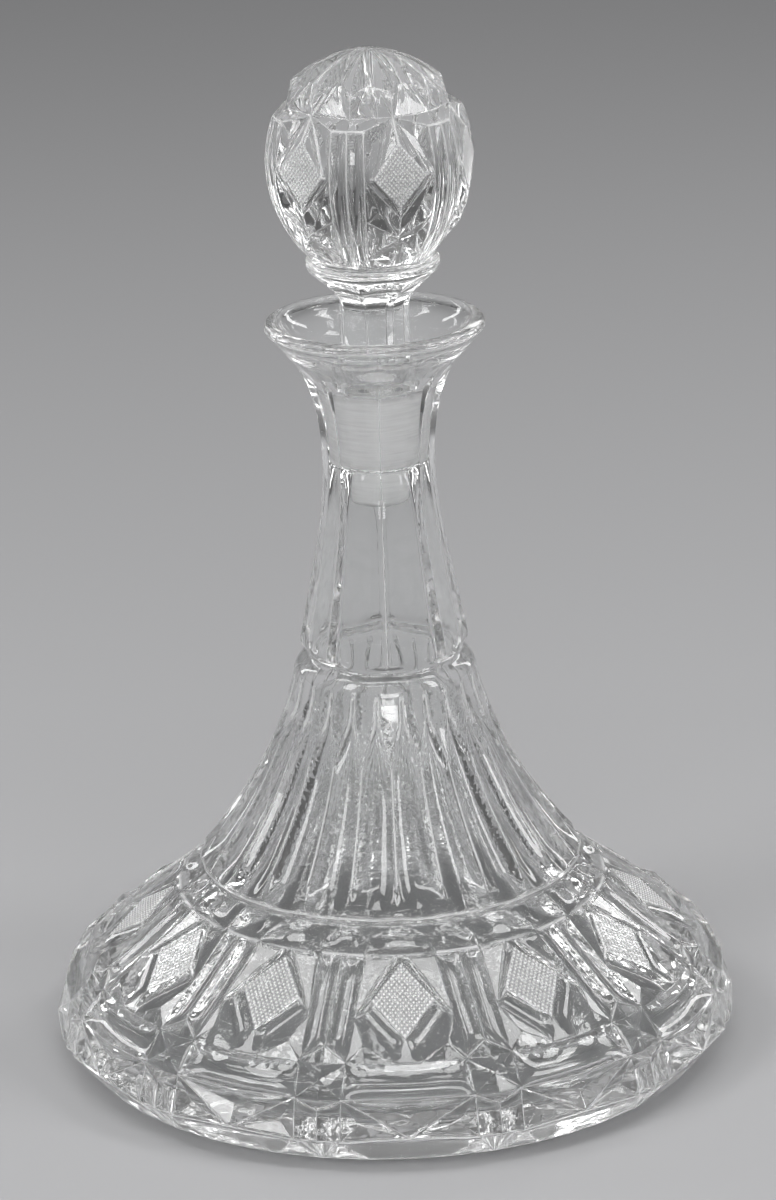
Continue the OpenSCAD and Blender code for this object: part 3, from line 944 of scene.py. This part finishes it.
        return lattice(swept(radius, degrees, z), wrap=True, matt=matt)

    def surface(self) -> Sheet:
        """The whole bottle's surface."""
        p = self.corners()
        half = combined(self.slope(p) + self.band(p) + self.skirt(p) + self.bevel(p) + self.ring(p))
        cell = combined([half, mirrored(half), self.hatch(p)])
        return combined([around(cell, self.cells)] + self.shoulder() + [self.neck()])


@dataclass
class BallStopper(GlassPiece):
    """The stopper: a ball of mirrored half cells, a faceted cap, a panelled shank and a ground plug."""

    name: str = "ground_stopper"
    body: str = "stopper"
    node: str = "stopper"
    slot: str = "clear_glass"
    turn: float = 15.6
    ball_foot: Profile = (17.8, 236.5)
    ball_side: Profile = (29.4, 263.5)
    ball_rim: Profile = (26.5, 278.0)
    rim: float = 277.3
    mid: float = 264.3
    tip: float = 252.6
    arms: float = 252.0
    cross: float = 246.5
    feet: float = 239.8
    hatch_span: Span = (255.4, 274.0)
    cap_foot: Profile = (23.0, 280.0)
    cap_brow: Profile = (21.9, 285.2)
    cap_top: float = 295.0
    valley: float = 0.935
    shank_top: Profile = (10.1, 222.0)
    plug_top: Profile = (10.1, 199.0)
    plug_low: Profile = (8.5, 167.0)
    cells: int = 6
    edge: float = 20.2
    ridge: float = 0.35
    hatch_angle: float = 15.6
    hatch_cells: int = 12
    hatch_proud: float = 0.45
    strip_depth: float = 0.3
    bar_depth: float = 1.2
    dent: float = 1.5
    frame_dent: float = 0.9
    panels: int = 8
    panel_fit: float = 0.995
    panel_crowd: float = 0.6
    panel_rise: Span = (200.0, 205.0)
    collar_rise: Span = (231.0, 235.5)
    arch_top: float = 231.0
    arch_fall: float = 3.0

    def __post_init__(self) -> None:
        """Finds the circle through the ball's foot, side and rim."""
        a, b, c = (np.array(q) for q in (self.ball_foot, self.ball_side, self.ball_rim))
        p, q = b - a, c - a
        d = 2.0 * (p[0] * q[1] - p[1] * q[0])
        self.centre = a + np.array([q[1] * (p @ p) - p[1] * (q @ q), p[0] * (q @ q) - q[0] * (p @ p)]) / d
        self.radius = float(np.linalg.norm(b - self.centre))

    def at(self, height: Union[float, Array], degrees: Union[float, Array], proud: float = 0.0) -> Array:
        """Point on the ball at a height and an angle, proud of it by a distance."""
        lift = np.arcsin((np.asarray(height, float) - self.centre[1]) / self.radius)
        reach = self.radius + proud
        return swept(self.centre[0] + reach * np.cos(lift), degrees, self.centre[1] + reach * np.sin(lift))

    def under(self, *corners: Array) -> Array:
        """Point in the middle of some corners, sunk towards the middle of the ball."""
        middle = np.mean(corners, axis=0)
        out = middle - (0.0, 0.0, self.centre[1])
        return middle - self.frame_dent * out / np.linalg.norm(out)

    def bar_line(self, top: float, low: float, count: int) -> Array:
        """Points down the ball from one height to another, on a bar's edge."""
        return self.at(np.linspace(top, low, count + 1), self.edge)

    def ball(self) -> tuple[Sheet, Array, Array]:
        """One whole cell of the ball: a framed diamond over crossed ridges, between two double bars.

        Returns:
            The cell's sheet, and half its upper and its lower rim.
        """
        rim, mid, arms, feet, foot = self.rim, self.mid, self.arms, self.feet, self.ball_foot[1]
        n, even, edge = self.hatch_cells, Spacing.EVEN, self.edge
        top = swept(self.cap_foot[0], 0.0, self.cap_foot[1])
        low, cross = self.at(self.tip, 0.0), self.at(self.cross, 0.0, 0.1)
        side, rim_bar = self.at(mid, edge), self.at(rim, edge)
        rim_ridge = self.at(rim, self.half, self.ridge)
        rim_line = line(top, rim_bar)
        arm, heel, foot_mid = self.at(arms, edge), self.at(feet, edge), self.at(foot, 0.0)
        foot_bar, foot_ridge = self.at(foot, edge), self.at(foot, self.half, self.ridge)
        foot_line = line(foot_mid, foot_bar, n, even)
        hatch_low, hatch_top = (self.at(height, 0.0, -0.5) for height in self.hatch_span)
        hatch_side = self.at(mid, self.hatch_angle, -0.4)
        hatch_up, hatch_down = line(hatch_top, hatch_side, n, even), line(hatch_side, hatch_low, n, even)
        upper, lower = line(top, side, n, even), line(side, low, n, even)
        over, under = line(arm, cross, 4), line(cross, heel, 4)
        bars = [self.bar_line(rim, mid, n), self.bar_line(mid, arms, 8), self.bar_line(arms, feet, 8)]
        bar = joined(*bars, line(heel, foot_bar, 4))
        ridge = self.at(bar[:, 2], self.half, self.ridge)
        sink = {"depth": self.strip_depth, "toward": swept(1.0, self.half / 3, 0.0)}
        bar_out = swept(1.0, 0.85 * self.half, 0.0)
        half = combined(
            [
                ruled(upper, hatch_up, 5, along=run_out(upper, True, False), **sink),
                ruled(lower, hatch_down, 5, along=run_out(lower, False, True), **sink),
                *dented([upper, bars[0], rim_line], self.under(top, rim_bar, side)),
                *dented([lower, bars[1], over, line(cross, low, 4)], self.at(254.4, 0.6 * edge, -self.dent)),
                *dented([over, bars[2], under], self.at(246.0, 0.7 * edge, -self.dent)),
                *dented([under, line(heel, foot_mid, 4)], self.at(241.0, 0.0, -self.dent)),
                ruled(foot_line, heel, 4),
                ruled(bar, ridge, 4, depth=self.bar_depth, toward=bar_out, along=run_out(bar, True, True)),
            ]
        )
        hatch = hatched(hatch_top, hatch_side, hatch_low, n, self.hatch_proud, swept(1.0, 0.0, 0.0))
        upper_rim = joined(rim_line, line(rim_bar, rim_ridge, 4))
        lower_rim = joined(foot_line, line(foot_bar, foot_ridge, 4))
        return combined([half, mirrored(half), hatch]), upper_rim, lower_rim

    def cap(self, rim: Array) -> Sheet:
        """Half a cell of the cap: a ledge, an upright triangle and two flat panels that meet in a valley.

        Args:
            rim: the ball's upper rim over the half cell.

        Returns:
            The sheet.
        """
        dome = [self.cap_brow, (17.5, 289.5), (9.5, 294.3), (0.0, self.cap_top)]
        upright = line(self.cap_foot, self.cap_brow, 4, Spacing.EVEN)
        ridge = joined(upright, bezier(dome, 12))
        valley = bezier(dome, 16) * (self.valley, 1.0)
        first, last = (swept(ridge[:, 0], a, ridge[:, 1]) for a in (0.0, self.half))
        middle = swept(valley[:, 0], self.half / 2, valley[:, 1])
        share = np.degrees(np.arctan2(rim[:, 1], rim[:, 0])) / self.half
        foot = first[0] + (last[0] - first[0]) * share[:, None]
        panels = [ruled(first, middle), ruled(last, middle)]
        return combined([ruled(rim, foot, 4), ruled(foot, middle[0])] + panels)

    def stem(self, rim: Array) -> Sheet:
        """Collar, panelled shank and ground plug: rows round the axis, from the ball down.

        Args:
            rim: the ball's lower rim over the half cell.

        Returns:
            The sheet, matt on the plug.
        """
        cell = np.vstack([(rim * (1, -1, 1))[::-1], rim[1:]])[:-1]
        ring = np.vstack([turned(cell, 360.0 * k / self.cells) for k in range(self.cells)])
        collar = [(17.7, 236.0), (18.2, 235.5), (18.9, 235.0), (19.0, 234.3), (19.0, 233.4), (18.7, 232.7)]
        flare = bezier([(18.2, 232.0), (15.0, 228.8), (10.6, 225.3), self.shank_top], 12)
        shank = line(self.shank_top, self.plug_top, 10, Spacing.EVEN)[1:]
        plug = line(self.plug_top, self.plug_low, 16, Spacing.EVEN)[1:]
        end = [(8.3, 165.6), (7.8, 164.7), (6.9, 164.2), (5.5, 164.0), (3.0, 164.0), (0.0, 164.0)]
        outline = np.vstack([collar, flare, shank, plug, end])
        r, z = outline[:, :1], outline[:, 1:]
        columns, pitch = len(ring), 360.0 / self.panels
        start = -self.half + (np.degrees(np.arctan2(ring[:, 1], ring[:, 0])) + self.half) % 360.0
        start[0] = -self.half
        edged = -self.half + panel_bearings(self.panels, columns, self.panel_crowd)
        grip = 1.0 - eased(z, *self.collar_rise)
        degrees = start[None, :] + grip * (edged - start)[None, :]
        off = ((degrees + self.half) % pitch) - pitch / 2
        arch = self.arch_top - self.arch_fall * (off / (pitch / 2)) ** 2
        panel = (1.0 - eased(z - arch, -1.6, 0.6)) * eased(z, *self.panel_rise)
        flat = self.panel_fit * math.cos(math.radians(pitch / 2)) / np.cos(np.radians(off))
        radius = r * (1.0 + panel * (flat - 1.0))
        ground = np.broadcast_to(1.0 - eased(z - self.plug_top[1], -0.8, 0.6), (len(outline), columns))
        rows = np.concatenate([ring[None], swept(radius, degrees, z)])
        matt = np.vstack([np.zeros((1, columns)), ground])
        return lattice(rows, wrap=True, matt=matt)

    def surface(self) -> Sheet:
        """The whole stopper's surface."""
        cell, upper, lower = self.ball()
        cap = self.cap(upper)
        top = combined([cell, cap, mirrored(cap)])
        return combined([around(top, self.cells), self.stem(lower)])


@dataclass(frozen=True)
class Lamp:
    """A soft lamp: its place, its two sides and its power."""

    name: str
    place: Triple
    size: Span
    power: float


@dataclass
class Studio:
    """Plain pale floor, soft lamps, a grey room and the camera at the photograph's angle."""

    floor_reach: float = 6.0
    floor_drop: float = 0.0006
    floor_tone: float = 0.42
    floor_blue: float = 1.02
    floor_rough: float = 0.7
    floor_points: int = 9
    lamp_aim: float = 0.12
    room_low: float = 0.07
    room_rise: float = 0.32
    eye: Triple = (0.0, -1.314, 0.5824)
    target: Triple = (0.0014, 0.0, 0.1333)
    azimuth: float = -1.6
    roll: float = -0.0307
    lens: float = 145.05
    sensor: float = 36.0
    lamps: tuple[Lamp, ...] = (
        Lamp("top", (0.0, -0.27, 1.3), (0.9, 0.2), 4.0),
        Lamp("top_left", (-0.74, 0.04, 1.3), (0.3, 0.3), 2.2),
        Lamp("top_right", (0.74, 0.04, 1.3), (0.3, 0.3), 2.2),
        Lamp("top_front", (0.0, -0.81, 1.2), (1.2, 0.08), 2.5),
        Lamp("front", (0.15, -1.75, 0.38), (0.8, 0.26), 5.5),
        Lamp("key", (-0.95, -0.75, 1.0), (0.35, 0.8), 6.5),
        Lamp("fill", (1.05, -0.55, 0.75), (0.2, 0.8), 4.2),
        Lamp("left_strip", (-0.95, 0.85, 0.6), (0.12, 0.9), 2.0),
        Lamp("right_strip", (0.95, 0.9, 0.6), (0.12, 0.9), 2.0),
    )

    def floor(self) -> bpy.types.Object:
        """A flat floor just under the foot: a square grid of points at one height."""
        reach = np.linspace(-self.floor_reach, self.floor_reach, self.floor_points)
        x, y = np.meshgrid(reach, reach, indexing="ij")
        sheet = lattice(np.stack([x, y, np.full_like(x, -self.floor_drop)], axis=-1))
        mesh = bpy.data.meshes.new("floor")
        mesh.from_pydata(sheet.points.tolist(), [], sheet.quads.tolist())
        made = bpy.data.materials.new("pale_floor")
        tree = NodeTree.of(made)
        tone = (self.floor_tone, self.floor_tone, self.floor_tone * self.floor_blue, 1.0)
        look = {"Base Color": tone, "Roughness": self.floor_rough}
        shader = tree.wire("ShaderNodeBsdfPrincipled", {}, look)
        tree.node("ShaderNodeOutputMaterial", {}, {"Surface": shader})
        mesh.materials.append(made)
        floor = placed("floor", mesh)
        return floor

    def light(self) -> None:
        """Puts up the soft lamps, all turned to the object, and a grey room that is lighter overhead."""
        for lamp in self.lamps:
            light = bpy.data.lights.new(lamp.name, "AREA")
            light.shape = "RECTANGLE"
            light.size, light.size_y = lamp.size
            light.energy = lamp.power
            made = placed(lamp.name, light)
            made.location = lamp.place
            aim = Vector((0.0, 0.0, self.lamp_aim)) - Vector(lamp.place)
            made.rotation_euler = aim.to_track_quat("-Z", "Y").to_euler()
        world = bpy.data.worlds.new("grey_room")
        tree = NodeTree.of(world)
        way = tree.wire("ShaderNodeTexCoord", {}, {}, "Generated")
        rise = tree.wire("ShaderNodeSeparateXYZ", {}, {"Vector": way}, "Z")
        shade = tree.wire("ShaderNodeBackground", {}, {"Color": self.room_low + rise * self.room_rise})
        tree.node("ShaderNodeOutputWorld", {}, {"Surface": shade})
        bpy.context.scene.world = world

    def camera(self) -> bpy.types.Object:
        """Puts up the camera, rolled a little as the photograph is."""
        swing = Matrix.Rotation(math.radians(self.azimuth), 4, "Z")
        eye, target = swing @ Vector(self.eye), swing @ Vector(self.target)
        forward = (target - eye).normalized()
        right = forward.cross(Vector((0.0, 0.0, 1.0))).normalized()
        up = right.cross(forward)
        c, s = math.cos(self.roll), math.sin(self.roll)
        rows = Matrix((c * right + s * up, c * up - s * right, -forward)).transposed()
        data = bpy.data.cameras.new("camera")
        data.lens = self.lens
        data.sensor_width = self.sensor
        camera = placed("camera", data)
        camera.matrix_world = Matrix.Translation(eye) @ rows.to_4x4()
        bpy.context.scene.camera = camera
        return camera


def main() -> None:
    logging.basicConfig(level=logging.INFO)
    scene = bpy.context.scene
    scene.view_settings.view_transform = "Standard"
    scene.cycles.max_bounces = BOUNCES
    scene.cycles.transmission_bounces = BOUNCES
    scene.cycles.glossy_bounces = BOUNCES
    studio = Studio()
    studio.floor()
    studio.light()
    studio.camera()
    glass = ClearGlass().material()
    for piece in (DecanterBody(), BallStopper()):
        piece.made(piece.surface(), glass)


if __name__ == "__main__":
    main()
